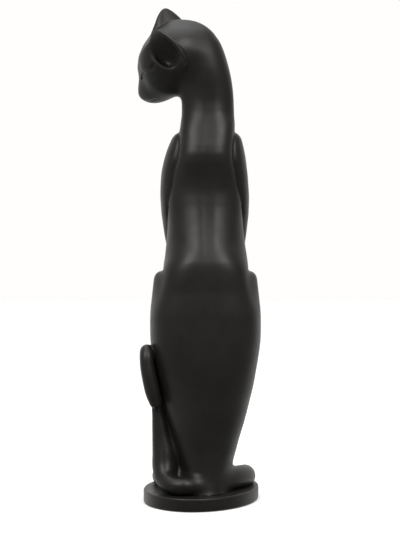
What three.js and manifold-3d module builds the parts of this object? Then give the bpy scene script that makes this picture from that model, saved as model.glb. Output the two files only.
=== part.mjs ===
// Tall ceramic cat figurine, sitting upright on an oval plinth with its head turned over its left shoulder.
// Millimetres, +Z up. The origin is the centre of the plinth's footprint, on the surface the figurine stands on.
// The cat's chest faces +Y, its back faces -Y and its own left side is at -X.
//
// The figure is made as slip-cast ware is: hollow castings and small pressed members that are luted together,
// each one a separate solid here with a thin slip line (JOINT) between it and its neighbour.
// Every sculpted member starts as a three.js lathe, sphere or extrusion, and its vertices are then drawn in
// along straight lines until they lie on the member's own form, which the tables below describe.
import * as THREE from "three";
import { mergeVertices } from "three/addons/utils/BufferGeometryUtils.js";
import Module from "manifold-3d";

const wasm = await Module();
wasm.setup();

// ---------------------------------------------------------------- driving dimensions
const BODY_X = 3.2; // the body's axis, to the right of the plinth's centre
const BODY_Y = -14; // and behind it
const JOINT = 0.3; // slip line between two luted members
const PLINTH_A = 45.8, // half width of the oval plinth
  PLINTH_B = 60, // half length
  PLINTH_TURN = 16, // degrees the oval is turned from the body's own fore-and-aft line
  PLINTH_Z0 = 0.3, // underside, above the felt pads
  PLINTH_TOP = 10.5,
  PLINTH_EDGE = 1.3; // edge rounding
const RECESS_DEPTH = 2.0, // shallow hollow under the plinth, inside its foot rim
  RIM_WIDTH = 9;
const VENT_R = 9; // vent hole through the plinth into the hollow body
const PAD_R = 6,
  PAD_T = 3.0; // felt pads, set in the recess
const WALL = 5; // casting wall

// ---------------------------------------------------------------- small helpers for forms
const clamp = (v, a, b) => Math.min(b, Math.max(a, v));
const smooth = (a, b, v) => {
  const t = clamp((v - a) / (b - a), 0, 1);
  return t * t * (3 - 2 * t);
};
const smin = (a, b, k) => {
  const h = Math.max(k - Math.abs(a - b), 0) / k;
  return Math.min(a, b) - (h * h * k) / 4;
};
const smax = (a, b, k) => -smin(-a, -b, k);

// Monotone cubic through a table's rows, one value per column.
function table(rows) {
  const z = rows.map((r) => r[0]),
    n = rows.length,
    cols = rows[0].length - 1;
  const slopes = [];
  for (let c = 1; c <= cols; c++) {
    const d = [];
    for (let i = 0; i < n - 1; i++)
      d.push((rows[i + 1][c] - rows[i][c]) / (z[i + 1] - z[i]));
    const m = [d[0]];
    for (let i = 1; i < n - 1; i++)
      m.push(d[i - 1] * d[i] <= 0 ? 0 : (2 * d[i - 1] * d[i]) / (d[i - 1] + d[i]));
    m.push(d[n - 2]);
    slopes.push(m);
  }
  return (x) => {
    x = clamp(x, z[0], z[n - 1]);
    let i = 0;
    while (i < n - 2 && x > z[i + 1]) i++;
    const h = z[i + 1] - z[i],
      t = (x - z[i]) / h,
      t2 = t * t,
      t3 = t2 * t;
    const out = [];
    for (let c = 1; c <= cols; c++) {
      const m = slopes[c - 1];
      out.push(
        (2 * t3 - 3 * t2 + 1) * rows[i][c] +
          (t3 - 2 * t2 + t) * h * m[i] +
          (-2 * t3 + 3 * t2) * rows[i + 1][c] +
          (t3 - t2) * h * m[i + 1],
      );
    }
    return out;
  };
}

// A form whose level cross-sections are ovals: rows of [z, centre x, centre y, half width, depth behind, depth in front].
// `power` gives, by level, how flat the oval is behind its middle: 2 is a plain ellipse.
function loftField(rows, cap, power = () => 2) {
  const at = table(rows),
    z0 = rows[0][0],
    z1 = rows[rows.length - 1][0];
  return (x, y, z) => {
    const [cx, cy, a, bb, bf] = at(z);
    const dx = x - cx,
      dy = y - cy,
      b = dy < 0 ? bb : bf;
    const l = Math.hypot(dx, dy);
    const n = dy < 0 ? power(z) : 2;
    const r = Math.pow(
      Math.pow(Math.abs(dx) / a, n) + Math.pow(Math.abs(dy) / b, n),
      1 / n,
    );
    const side = r < 1e-6 ? -Math.min(a, b) : (l * (r - 1)) / r;
    return smax(side, Math.max(z0 - z, z - z1), cap);
  };
}

function ellipsoid(x, y, z, rx, ry, rz) {
  const k0 = Math.hypot(x / rx, y / ry, z / rz);
  const k1 = Math.hypot(x / (rx * rx), y / (ry * ry), z / (rz * rz));
  return k1 < 1e-9 ? -Math.min(rx, ry, rz) : (k0 * (k0 - 1)) / k1;
}

// A round form along a smooth line: points of [x, y, z, radius].
function lineOf(points, steps) {
  const curve = new THREE.CatmullRomCurve3(
    points.map((p) => new THREE.Vector3(p[0], p[1], p[2])),
    false,
    "centripetal",
  );
  const radius = new THREE.SplineCurve(
    points.map((p, i) => new THREE.Vector2(i, p[3])),
  );
  const out = [];
  for (let i = 0; i <= steps; i++) {
    const t = i / steps;
    const q = curve.getPoint(t);
    out.push([q.x, q.y, q.z, radius.getPoint(t).y]);
  }
  return out;
}
function chainField(line) {
  return (x, y, z) => {
    let best = 1e9;
    for (let i = 0; i < line.length - 1; i++) {
      const p = line[i],
        q = line[i + 1];
      const ux = q[0] - p[0],
        uy = q[1] - p[1],
        uz = q[2] - p[2];
      const t = clamp(
        ((x - p[0]) * ux + (y - p[1]) * uy + (z - p[2]) * uz) /
          (ux * ux + uy * uy + uz * uz),
        0,
        1,
      );
      const d =
        Math.hypot(x - p[0] - t * ux, y - p[1] - t * uy, z - p[2] - t * uz) -
        (p[3] + t * (q[3] - p[3]));
      if (d < best) best = d;
    }
    return best;
  };
}

// ---------------------------------------------------------------- the forms, with the body's axis at y = 0
// z, centre x, centre y, half width, depth behind, depth in front
const TORSO = [
  [60, 3.2, 0, 12, 10, 10],
  [100, 3.2, 0, 20, 16, 14],
  [130, 3.2, 0, 28, 26, 18],
  [150, 3.2, 0, 32, 33, 20],
  [165, 3.2, 0, 33.5, 35.4, 22],
  [176, 3.3, 0, 34.2, 35.8, 25],
  [186, 3.4, 0, 34.4, 35.4, 27],
  [192, 3.5, 0, 34, 34.8, 27.6],
  [198, 3.6, 0, 33.2, 33.2, 28.4],
  [206, 3.4, 0, 32.2, 30.2, 29.4],
  [216, 3.2, 0, 31, 26.2, 30.2],
  [228, 3, 0, 30.2, 22.4, 30.8],
  [240, 2.8, 0, 30, 19.8, 31],
  [250, 2.6, 0, 29.6, 18.8, 31],
  [260, 2.4, 0, 28.2, 19.8, 30.4],
  [268, 2.4, 0, 26.2, 21.8, 29.4],
  [274, 2.7, 0, 24.6, 23.3, 28.4],
  [279, 3, 0, 23.7, 23.7, 27.8],
  [285, 3.4, 0, 23.2, 22.8, 27],
  [292, 4, 0, 22.9, 20.6, 25.9],
  [299, 4.5, 0, 22.4, 18.2, 24.9],
  [306, 5, 0, 21.9, 16.1, 23.8],
  [314, 5.2, 0, 21.2, 14.5, 22.8],
  [323, 5, 0, 21.1, 13.8, 22.2],
  [332, 4.3, 0, 21.2, 14.4, 22],
  [341, 2.9, 0, 21.4, 15.6, 21.5],
  [350, 0.8, 0, 21.6, 16.6, 21],
  [360, -2.6, 0, 22.2, 17, 20.4],
  [370, -7, 0, 22.8, 15.8, 19.2],
  [378, -11, 0, 21.6, 13.2, 17],
  [384, -13.6, 0, 17.9, 9.6, 13.5],
  [388, -15.5, 0, 12.2, 6, 9.5],
  [389.6, -16.5, 0, 7, 3.5, 5.5],
];
const HAUNCH = [
  [8, 3.2, 0, 20.5, 33, 26],
  [14, 3.2, 0, 20.3, 31, 25],
  [22, 3.2, 0, 20.6, 29.2, 24],
  [34, 3.2, 0, 22.6, 28.2, 24],
  [42, 3.2, 0, 24.8, 28.2, 26],
  [50, 3.2, 0, 26.9, 29, 28],
  [58, 3.2, 0, 29.3, 30.2, 30],
  [66, 3.2, 0, 31.7, 31.4, 31.8],
  [74, 3.2, 0, 33.8, 32.6, 33.4],
  [82.5, 3.2, 0, 35.9, 33.8, 35],
  [90.6, 3.2, 0, 37.9, 34.8, 36.4],
  [98.7, 3.2, 0, 39.6, 35.6, 37.4],
  [106.8, 3.2, 0, 41, 36.2, 38.2],
  [115, 3.2, 0, 42.4, 36.8, 38.6],
  [123, 3.2, 0, 43.5, 37.1, 38.6],
  [131, 3.2, 0, 44.4, 37.3, 38.2],
  [139, 3.2, 0, 44.7, 37.2, 37.6],
  [147, 3.2, 0, 44.7, 37, 36.6],
  [155, 3.2, 0, 44.4, 36.7, 35.4],
  [163, 3.2, 0, 43.6, 36.2, 33.8],
  [171.5, 3.2, 0, 42.7, 35.4, 32],
  [180, 3.2, 0, 41.7, 34, 30],
  [187, 3.2, 0, 40.6, 32, 29],
];
// the recess between the thighs, in which the forelegs stand
const CHANNEL = [
  [-20, 3.2, 52, 20, 30, 40],
  [12, 3.2, 52, 20, 30, 40],
  [90, 3.2, 52, 20.5, 31, 40],
  [130, 3.2, 52, 21, 30, 40],
  [175, 3.2, 52, 24, 24, 40],
];
// one foreleg from shoulder to wrist: z, distance from the body's middle plane, centre y, half width, depth behind, depth in front
const FORELEG = [
  [11, 10.4, 39, 9.6, 10, 11],
  [25, 9.9, 38.5, 9.2, 9.4, 9.6],
  [40, 9.5, 38, 8.9, 8.9, 9],
  [80, 9.5, 37, 9.1, 9.2, 9.2],
  [120, 9.9, 35.3, 9.4, 9.6, 9.6],
  [150, 11.6, 32.5, 9.6, 9.8, 9.8],
  [170, 14.2, 29.5, 9.7, 10, 10],
  [185, 17, 26, 9.8, 10.2, 10.2],
  [195, 19.2, 23.6, 10, 10, 10.6],
  [205, 21.2, 20.5, 10.4, 10.2, 11.2],
  [215, 22.6, 17.6, 10.8, 11, 12],
  [225, 23.5, 15, 11.2, 13.2, 13],
  [235, 24.2, 12.6, 11.6, 15.2, 14],
  [244, 24.2, 10.4, 12, 16.2, 15],
  [254, 23.5, 8.2, 12.5, 16.8, 16],
  [263.7, 22.8, 6.2, 12.5, 17.2, 16],
  [273.4, 21.6, 4.6, 12.3, 17.4, 16],
  [283, 20, 3.4, 11.8, 16, 15.5],
  [292.8, 17.6, 2.4, 11, 13.2, 13],
  [299.5, 15.4, 2, 10.4, 10.4, 11],
];
const TAIL = [
  [4, -16, 17, 6],
  [-6, -25.5, 17.2, 7],
  [-14, -28.8, 17.4, 7.3],
  [-23, -25.5, 18, 7.5],
  [-28.6, -17, 22, 8.4],
  [-29.5, -10.5, 30, 9.9],
  [-30.2, -8.2, 41, 9.3],
  [-32, -7.6, 52, 7.6],
  [-33.6, -7.6, 63, 6.1],
  [-35.1, -7.8, 74, 4.7],
  [-36.4, -8.6, 84, 4.3],
  [-38, -8.4, 96, 4.8],
  [-40, -8.4, 107, 5.2],
  [-42.4, -9.4, 117, 5.4],
  [-43.4, -12.8, 122.6, 5.6],
  [-43.6, -17, 119, 5.6],
  [-42.9, -18.8, 110, 5.7],
  [-41, -19, 100, 5.9],
  [-38.8, -18.4, 90, 5.8],
  [-36.6, -17.6, 82.6, 5],
];
const HIND_FOOT = [
  [6, -16, 18, 8.4],
  [16, -8, 18.4, 9.2],
  [26, 6, 18.4, 9.7],
  [32.6, 20, 17.4, 9.3],
  [34, 36, 15.8, 8.5],
  [32.2, 47, 14, 7],
];

const torsoAt = table(TORSO);
const torso = loftField(
  TORSO,
  1.5,
  (z) => 2 + 0.9 * smooth(252, 276, z) * (1 - smooth(298, 316, z)) + 1.3 * (1 - smooth(176, 212, z)),
);
const haunchPower = (z) => 2 + 0.7 * smooth(80, 150, z);
const barrel = loftField(HAUNCH, 7, haunchPower);
// the same haunches without their upper edge, for the back, where they run on into the torso
const barrelOpen = loftField(
  [
    [-40, ...HAUNCH[0].slice(1)],
    ...HAUNCH.slice(0, -2),
    [200, 3.2, 0, 41.4, 34.6, 31],
    [260, 3.2, 0, 41, 34.4, 31],
  ],
  2,
  haunchPower,
);
const channel = loftField(CHANNEL, 10);
// the thigh's upper edge falls towards the knee
const thighDrop = (y) => 1 - (0.021 * clamp(y, 0, 60) ** 2) / 188;

function neckAndBody(x, y, z) {
  const t = torso(x, y, z);
  const b = barrel(x, y, z / thighDrop(y));
  const back = smooth(-7, -24, y),
    w = smooth(150, 200, z);
  let d = smin(t, b, 1.4) * (1 - back) + back * (barrelOpen(x, y, z) * (1 - w) + t * w);
  d = smax(d, -channel(x, y, z), 4);
  // groove of the spine
  const xs = torsoAt(z)[0] + 1.2;
  const g = 0.7 * smooth(186, 214, z) * (1 - 0.6 * smooth(262, 300, z)) * (1 - smooth(318, 336, z));
  d += g * Math.exp(-(((x - xs) / 4.5) ** 2)) * smooth(-4, -12, y);
  return d;
}
const foreleg = loftField(FORELEG, 7);
const forelegField = (side) => (x, y, z) => {
  const cx = torsoAt(z)[0];
  const leg = foreleg(side * (x - cx), y, z);
  const paw = ellipsoid(side * (x - BODY_X) - 11.2, y - 45, z - 16.4, 10.6, 14.5, 7.4);
  return smin(leg, paw, 6);
};
const footLine = lineOf(HIND_FOOT, 16),
  footChain = chainField(footLine);
const footField = (side) => (x, y, z) => footChain(side * (x - 2.0), y, z);

// ---------------------------------------------------------------- the head
const HEAD_C = [-27.0, 1.0, 355.7];
const rad = Math.PI / 180;
// the head's own axes: forward through the nose, to its left, and up through the crown
const HF = [-0.82728, 0.34946, -0.43987],
  HS = [-0.09003, -0.85533, -0.5102],
  HT = [-0.55453, -0.38247, 0.73906];
const toHead = (x, y, z) => {
  const d = [x - HEAD_C[0], y - HEAD_C[1], z - HEAD_C[2]];
  return [HF, HS, HT].map((a) => a[0] * d[0] + a[1] * d[1] + a[2] * d[2]);
};
const fromHead = (f, s, t) =>
  [0, 1, 2].map((i) => HEAD_C[i] + f * HF[i] + s * HS[i] + t * HT[i]);
const NOSE = [[17.4, 3.2, 8.0], [30.2, -11.8, 5.2]]; // bridge of the nose: forward, up, radius
function bridge(f, s, t) {
  const [[f0, t0, r0], [f1, t1, r1]] = NOSE;
  const u = f1 - f0,
    v = t1 - t0;
  const k = clamp(((f - f0) * u + (t - t0) * v) / (u * u + v * v), 0, 1);
  return Math.hypot(f - f0 - k * u, s, t - t0 - k * v) - (r0 + k * (r1 - r0));
}
function skull(x, y, z) {
  const [f, s, t] = toHead(x, y, z);
  let d = ellipsoid(f + 3.5, s, t - 2, 27, 22, 24); // cranium
  d = smin(d, ellipsoid(f - 7, s, t + 8, 18, 19.5, 15), 6); // brow and cheeks
  d = smin(d, bridge(f, s, t), 5);
  d = smin(d, ellipsoid(f - 23, s, t + 12.6, 11, 10.5, 8.6), 8); // muzzle
  d = smin(d, ellipsoid(f - 22.6, s, t + 16.2, 8.5, 8, 6.5), 6); // chin
  return smin(d, ellipsoid(f - 9, s, t + 13.6, 17, 14.5, 11.5), 10); // jaw
}
const headAndNeck = (x, y, z) => smin(skull(x, y, z), neckAndBody(x, y, z), 9);

// ---------------------------------------------------------------- from three.js geometry to solids
// Strips a geometry to its welded positions and makes it a manifold-3d solid with its faces pointing out.
function solid(geometry) {
  const g = geometry.index ? geometry.toNonIndexed() : geometry.clone();
  g.deleteAttribute("normal");
  g.deleteAttribute("uv");
  const m = mergeVertices(g, 1e-4);
  const make = (index) =>
    new wasm.Manifold(
      new wasm.Mesh({
        numProp: 3,
        vertProperties: new Float32Array(m.attributes.position.array),
        triVerts: index,
      }),
    );
  const index = new Uint32Array(m.index.array);
  const first = make(index);
  if (first.volume() > 0) return first;
  for (let i = 0; i < index.length; i += 3)
    [index[i + 1], index[i + 2]] = [index[i + 2], index[i + 1]];
  return make(index);
}
function bufferGeometry(s) {
  const m = s.getMesh();
  const v = new Float32Array(m.numVert * 3);
  for (let i = 0; i < m.numVert; i++)
    v.set(m.vertProperties.subarray(i * m.numProp, i * m.numProp + 3), i * 3);
  const g = new THREE.BufferGeometry()
    .setAttribute("position", new THREE.BufferAttribute(v, 3))
    .setIndex(new THREE.BufferAttribute(new Uint32Array(m.triVerts), 1));
  g.computeVertexNormals();
  return g;
}

// Draws a geometry's vertices in from outside onto the form `field` (grown by `grow`), along lines from `centre(vertex)`.
function drawnOnto(geometry, field, centre, reach, grow = 0) {
  const p = geometry.attributes.position;
  for (let i = 0; i < p.count; i++) {
    const v = [p.getX(i), p.getY(i), p.getZ(i)];
    const c = centre(v);
    const d = [v[0] - c[0], v[1] - c[1], v[2] - c[2]];
    const l = Math.hypot(...d);
    if (l < 1e-6) continue;
    const u = d.map((k) => k / l);
    const f = (t) =>
      field(c[0] + u[0] * t, c[1] + u[1] * t, c[2] + u[2] * t) - grow;
    let hi = reach,
      lo = reach;
    while (lo > 0 && f(lo) > 0) {
      hi = lo;
      lo -= 0.8;
    }
    if (lo <= 0) lo = 0;
    for (let k = 0; k < 24; k++) {
      const m = (lo + hi) / 2;
      if (f(m) > 0) hi = m;
      else lo = m;
    }
    p.setXYZ(i, c[0] + u[0] * lo, c[1] + u[1] * lo, c[2] + u[2] * lo);
  }
  return geometry;
}

// A lathe whose rows stand at the given heights, closed on its own axis at both ends.
function column(heights, segments, radius = 30) {
  const profile = [
    new THREE.Vector2(0, heights[0]),
    ...heights.map((h) => new THREE.Vector2(radius, h)),
    new THREE.Vector2(0, heights[heights.length - 1]),
  ];
  return new THREE.LatheGeometry(profile, segments).rotateX(Math.PI / 2);
}
const heights = (z0, z1, n, extra = []) =>
  [...Array(n + 1).keys()]
    .map((i) => z0 + ((z1 - z0) * i) / n)
    .concat(extra)
    .sort((a, b) => a - b);

// A tube along a line: an extrusion whose rings are then set to the line's own radius, with rounded ends.
function tube(points, steps, sides, grow = 0) {
  const line = lineOf(points, 60);
  const curve = new THREE.CatmullRomCurve3(
    points.map((p) => new THREE.Vector3(p[0], p[1], p[2])),
    false,
    "centripetal",
  );
  const ends = [curve.getPoint(0), curve.getPoint(1)];
  const tangents = [curve.getTangent(0), curve.getTangent(1)];
  const stretched = [
    ends[0].clone().addScaledVector(tangents[0], -points[0][3] * 0.98),
    ...Array.from({ length: 41 }, (_, i) => curve.getPoint(i / 40)),
    ends[1].clone().addScaledVector(tangents[1], points[points.length - 1][3] * 0.98),
  ];
  const path = new THREE.CatmullRomCurve3(stretched, false, "centripetal");
  path.arcLengthDivisions = 400;
  const ring = new THREE.Shape();
  for (let i = 0; i < sides; i++) {
    const a = (2 * Math.PI * i) / sides;
    i ? ring.lineTo(Math.cos(a), Math.sin(a)) : ring.moveTo(1, 0);
  }
  ring.closePath();
  const g = new THREE.ExtrudeGeometry(ring, {
    steps,
    extrudePath: path,
    bevelEnabled: false,
  });
  const rings = path.getSpacedPoints(steps);
  const field = chainField(line);
  // each vertex belongs to the ring whose centre is nearest, and moves out from that centre
  return drawnOnto(
    g,
    field,
    (v) => {
      let best = rings[0],
        bd = 1e9;
      for (const r of rings) {
        const d = (v[0] - r.x) ** 2 + (v[1] - r.y) ** 2 + (v[2] - r.z) ** 2;
        if (d < bd) {
          bd = d;
          best = r;
        }
      }
      return [best.x, best.y, best.z];
    },
    11,
    grow,
  );
}

// ---------------------------------------------------------------- the members
const axisOf = (field) => (v) => [torsoAt(v[2])[0], 2, v[2]];

// body: haunches, torso and neck stump, hollow, open below onto the vent
const NECK_CUT = 312; // level at which the head casting is luted to the neck
function bodySolid(grow = 0) {
  const rows = heights(10.8, NECK_CUT - JOINT, 30, [181, 184, 185.8, 186.9]);
  return solid(drawnOnto(column(rows, 32), neckAndBody, axisOf(), 80, grow));
}
function bodyCavity() {
  const rows = heights(4, NECK_CUT + 2, 12);
  const inner = (x, y, z) => neckAndBody(x, y, Math.max(z, 24)) + WALL;
  const g = drawnOnto(column(rows, 12), inner, axisOf(), 80);
  return solid(g);
}
function legSolid(side, grow = 0) {
  const at = table(FORELEG);
  const rows = heights(10.9, 299.4, 22, [14, 20, 294, 297.5]);
  const g = column(rows, 14, 40);
  const middle = (v) => {
    const [off, cy] = at(v[2]);
    return [torsoAt(v[2])[0] + side * off, cy, v[2]];
  };
  // the column stands about the leg's own middle line
  const p = g.attributes.position;
  for (let i = 0; i < p.count; i++) {
    const c = middle([0, 0, p.getZ(i)]);
    p.setXY(i, p.getX(i) + c[0], p.getY(i) + c[1]);
  }
  return solid(drawnOnto(g, forelegField(side), middle, 34, grow));
}
function footSolid(side, grow = 0) {
  const pts = HIND_FOOT.map((p) => [2.0 + side * p[0], p[1], p[2], p[3]]);
  return solid(tube(pts, 12, 10, grow));
}
// a straight round-ended rod from one point of a line to the next
function rod(p, q, grow) {
  const a = new THREE.Vector3(p[0], p[1], p[2]),
    b = new THREE.Vector3(q[0], q[1], q[2]);
  const along = b.clone().sub(a);
  const g = new THREE.CapsuleGeometry(Math.min(p[3], q[3]) + grow, along.length(), 4, 12);
  g.applyQuaternion(
    new THREE.Quaternion().setFromUnitVectors(new THREE.Vector3(0, 1, 0), along.clone().normalize()),
  );
  const m = a.add(b).multiplyScalar(0.5);
  return solid(g.translate(m.x, m.y, m.z));
}

// the stem and the folded tip are drawn apart, and two short rods carry the tight bend between them
const BEND = 14;
const tailSolid = (grow = 0) =>
  solid(tube(TAIL.slice(0, BEND), 28, 10, grow))
    .add(rod(TAIL[BEND - 1], TAIL[BEND], grow))
    .add(rod(TAIL[BEND], TAIL[BEND + 1], grow))
    .add(solid(tube(TAIL.slice(BEND + 1), 12, 10, grow)));

// head: sphere drawn onto the skull and the top of the neck
function headSolid(grow = 0) {
  const c = [-14, 0, 350];
  const g = new THREE.SphereGeometry(60, 32, 24).rotateX(Math.PI / 2);
  g.translate(...c);
  const crown = solid(drawnOnto(g, headAndNeck, () => c, 75, grow)).subtract(box(-200, -200, -50, 200, 200, 326));
  // the neck below it is drawn out from its own axis
  const neck = solid(drawnOnto(column(heights(NECK_CUT - 1, 350, 8), 32), neckAndBody, axisOf(), 80, grow));
  return crown.add(neck);
}
function box(x0, y0, z0, x1, y1, z1) {
  return solid(
    new THREE.BoxGeometry(x1 - x0, y1 - y0, z1 - z0).translate(
      (x0 + x1) / 2,
      (y0 + y1) / 2,
      (z0 + z1) / 2,
    ),
  );
}
// ear: a pointed cup on the crown, its back rounded and its opening to the front and side; side +1 is the cat's left
const EAR_FOOT = [-10.5, 15.6, 12.0], // middle of its base, in the head's axes
  EAR_UP = [-0.24218, 0.39405, 0.88661],
  EAR_ACROSS = [0.70307, -0.55846, 0.44025],
  EAR_OUT = [0.66861, 0.72997, -0.1418],
  EAR_H = 24.4;
const onEar = (f, s, t) => {
  const d = [f - EAR_FOOT[0], s - EAR_FOOT[1], t - EAR_FOOT[2]];
  return [EAR_ACROSS, EAR_UP, EAR_OUT].map((a) => a[0] * d[0] + a[1] * d[1] + a[2] * d[2]);
};
const earPoint = (side, w, u, n) => {
  const p = [0, 1, 2].map((i) => EAR_FOOT[i] + w * EAR_ACROSS[i] + u * EAR_UP[i] + n * EAR_OUT[i]);
  return fromHead(p[0], side * p[1], p[2]);
};
function earSolid(side, grow = 0) {
  const rows = heights(-10, EAR_H, 12, [EAR_H - 0.6, EAR_H - 1.4]);
  if (grow) rows.unshift(-10 - grow), rows.push(EAR_H + grow);
  const g = column(rows, 24, 1);
  const p = g.attributes.position;
  for (let i = 0; i < p.count; i++) {
    const x = p.getX(i),
      y = p.getY(i),
      u = p.getZ(i);
    const k = clamp((u + 8) / (EAR_H + 8), 0, 1);
    const half = 15.6 * (1 - k ** 2.5) ** 0.72 + 0.6 + 1.2 * grow,
      deep = 9.5 * (1 - k ** 1.5) + 1.2 + 2.2 * grow;
    const front = 1.5 + grow;
    const r = Math.hypot(x, y);
    // round behind, flat in front
    const w = r < 0.5 ? 0 : (half * x) / r,
      n = r < 0.5 ? front - deep / 2 : y > 0 ? front : front + (deep * y) / r;
    p.setXYZ(i, ...earPoint(side, w, u, n));
  }
  return solid(g);
}
// the scoop in the ear's front: an oval hollow, [middle], [half sizes] across, up and out
const SCOOP = [
  [-2, 6, 6.0],
  [11.8, 16, 6.8],
];
function scoopSolid(side) {
  const g = new THREE.SphereGeometry(1, 24, 16);
  const p = g.attributes.position;
  for (let i = 0; i < p.count; i++) {
    const [w, u, n] = [p.getX(i), p.getY(i), p.getZ(i)].map((v, k) => SCOOP[0][k] + v * SCOOP[1][k]);
    p.setXYZ(i, ...earPoint(side, w, u, n));
  }
  return solid(g);
}

// plinth
function ovalPoints(inset, n) {
  const a = PLINTH_A - inset,
    b = PLINTH_B - inset,
    w = -PLINTH_TURN * rad;
  return Array.from({ length: n }, (_, i) => {
    const t = (2 * Math.PI * i) / n;
    const x = a * Math.cos(t),
      y = b * Math.sin(t);
    return new THREE.Vector2(
      x * Math.cos(w) - y * Math.sin(w),
      x * Math.sin(w) + y * Math.cos(w),
    );
  });
}
function ovalSlab(inset, z0, z1, n = 56) {
  return solid(
    new THREE.ExtrudeGeometry(new THREE.Shape(ovalPoints(inset, n)), {
      depth: z1 - z0,
      steps: 1,
      bevelEnabled: false,
    }).translate(0, 0, z0),
  );
}
function cylinder(x, y, z0, z1, r, n) {
  return solid(
    new THREE.CylinderGeometry(r, r, z1 - z0, n)
      .rotateX(Math.PI / 2)
      .translate(x, y, (z0 + z1) / 2),
  );
}
function plinthSolid() {
  const e = PLINTH_EDGE,
    shape = new THREE.Shape(ovalPoints(e, 56));
  let s = solid(
    new THREE.ExtrudeGeometry(shape, {
      depth: PLINTH_TOP - PLINTH_Z0 - 2 * e,
      steps: 1,
      bevelEnabled: true,
      bevelThickness: e,
      bevelSize: e,
      bevelSegments: 3,
    }).translate(0, 0, PLINTH_Z0 + e),
  );
  s = s.subtract(ovalSlab(RIM_WIDTH + e, PLINTH_Z0 - 1, PLINTH_Z0 + RECESS_DEPTH));
  return s.subtract(cylinder(BODY_X, BODY_Y, PLINTH_Z0 - 1, PLINTH_TOP + 1, VENT_R, 24));
}

const shift = (s) => s.translate([0, BODY_Y, 0]);

// ---------------------------------------------------------------- assembly: each member gives way to the ones luted onto it
const floor = box(-200, -200, -50, 200, 200, PLINTH_TOP + JOINT);
const belowNeck = box(-200, -200, -50, 200, 200, NECK_CUT);
const ears = { left: earSolid(1).subtract(scoopSolid(1)), right: earSolid(-1).subtract(scoopSolid(-1)) };
let head = headSolid()
  .subtract(belowNeck)
  .subtract(earSolid(1, JOINT))
  .subtract(earSolid(-1, JOINT));
const headHollow = solid(
  drawnOnto(
    new THREE.SphereGeometry(40, 12, 8).translate(-10, 0, 346),
    (x, y, z) => headAndNeck(x, y, z) + WALL + 1,
    () => [-10, 0, 346],
    70,
  ),
);
head = head.subtract(headHollow);

const tail = tailSolid().subtract(floor);
const legs = { left: legSolid(-1).subtract(floor), right: legSolid(1).subtract(floor) };
const feet = { left: footSolid(-1).subtract(floor), right: footSolid(1).subtract(floor) };
const grownLegs = { left: legSolid(-1, JOINT), right: legSolid(1, JOINT) };
feet.left = feet.left.subtract(grownLegs.left);
feet.right = feet.right.subtract(grownLegs.right);
const mid = box(BODY_X - JOINT / 2, -200, 0, 200, 200, 200);
const midL = box(-200, -200, 0, BODY_X + JOINT / 2, 200, 200);
legs.left = legs.left.subtract(mid);
legs.right = legs.right.subtract(midL);
let body = bodySolid()
  .subtract(bodyCavity())
  .subtract(grownLegs.left)
  .subtract(grownLegs.right)
  .subtract(footSolid(-1, JOINT))
  .subtract(footSolid(1, JOINT))
  .subtract(tailSolid(JOINT));
feet.left = feet.left.subtract(mid).subtract(tailSolid(JOINT));
feet.right = feet.right.subtract(midL).subtract(tailSolid(JOINT));

// keeps the largest piece of a cut solid, so that no chip is left behind
const largest = (s) =>
  s.decompose().reduce((a, b) => (a.volume() > b.volume() ? a : b));

// ---------------------------------------------------------------- materials and the scene graph
const black = () =>
  new THREE.MeshStandardMaterial({ color: 0x1c1a19, roughness: 0.42, metalness: 0 });
const felt = () =>
  new THREE.MeshStandardMaterial({ color: 0x23211f, roughness: 0.95, metalness: 0 });

const figurine = new THREE.Group();
const add = (name, s, material) => {
  const mesh = new THREE.Mesh(bufferGeometry(s), material);
  mesh.name = name;
  figurine.add(mesh);
};
add("plinth", plinthSolid(), black());
add("body_casting", largest(shift(body)), black());
add("head_casting", largest(shift(head)), black());
add("left_ear", largest(shift(ears.left)), black());
add("right_ear", largest(shift(ears.right)), black());
add("left_foreleg", largest(shift(legs.left)), black());
add("right_foreleg", largest(shift(legs.right)), black());
add("left_hind_foot", largest(shift(feet.left)), black());
add("right_hind_foot", largest(shift(feet.right)), black());
add("tail", largest(shift(tail)), black());

const padSpots = { rear_left: [-15, -32], rear_right: [15, -32], front_left: [-15, 32], front_right: [15, 32] };
for (const [where, [u, v]] of Object.entries(padSpots)) {
  const w = -PLINTH_TURN * rad,
    x = u * Math.cos(w) - v * Math.sin(w),
    y = u * Math.sin(w) + v * Math.cos(w);
  const pad = cylinder(x, y, 0, PLINTH_Z0 + RECESS_DEPTH - JOINT, PAD_R, 24);
  add("felt_pad_" + where, pad, felt());
}

export default figurine;
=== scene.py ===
# A tall satin-black ceramic cat, sitting on its oval plinth, in metres in the CAD's own frame.
# The form is one continuous field, in millimetres with the body's axis at y = 0. Each cast or luted member is
# meshed from it on its own and stands for the CAD node of the same name.
import bpy
import bmesh
import math
import numpy as np
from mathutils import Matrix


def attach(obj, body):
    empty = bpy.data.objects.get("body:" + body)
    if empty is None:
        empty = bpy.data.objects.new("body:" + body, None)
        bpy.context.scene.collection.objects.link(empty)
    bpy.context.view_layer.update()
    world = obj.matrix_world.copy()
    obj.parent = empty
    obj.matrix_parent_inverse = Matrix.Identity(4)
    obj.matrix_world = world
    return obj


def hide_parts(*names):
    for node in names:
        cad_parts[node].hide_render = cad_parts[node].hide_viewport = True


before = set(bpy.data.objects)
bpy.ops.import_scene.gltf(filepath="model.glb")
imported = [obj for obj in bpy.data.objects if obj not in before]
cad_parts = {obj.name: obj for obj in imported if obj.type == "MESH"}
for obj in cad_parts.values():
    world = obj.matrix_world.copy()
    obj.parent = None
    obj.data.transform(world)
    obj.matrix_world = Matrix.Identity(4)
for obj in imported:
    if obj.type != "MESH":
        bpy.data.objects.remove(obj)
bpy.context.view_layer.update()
import openvdb
from mathutils import Vector

BODY_Y = -14.0  # where the body's axis lies in the CAD frame

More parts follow.
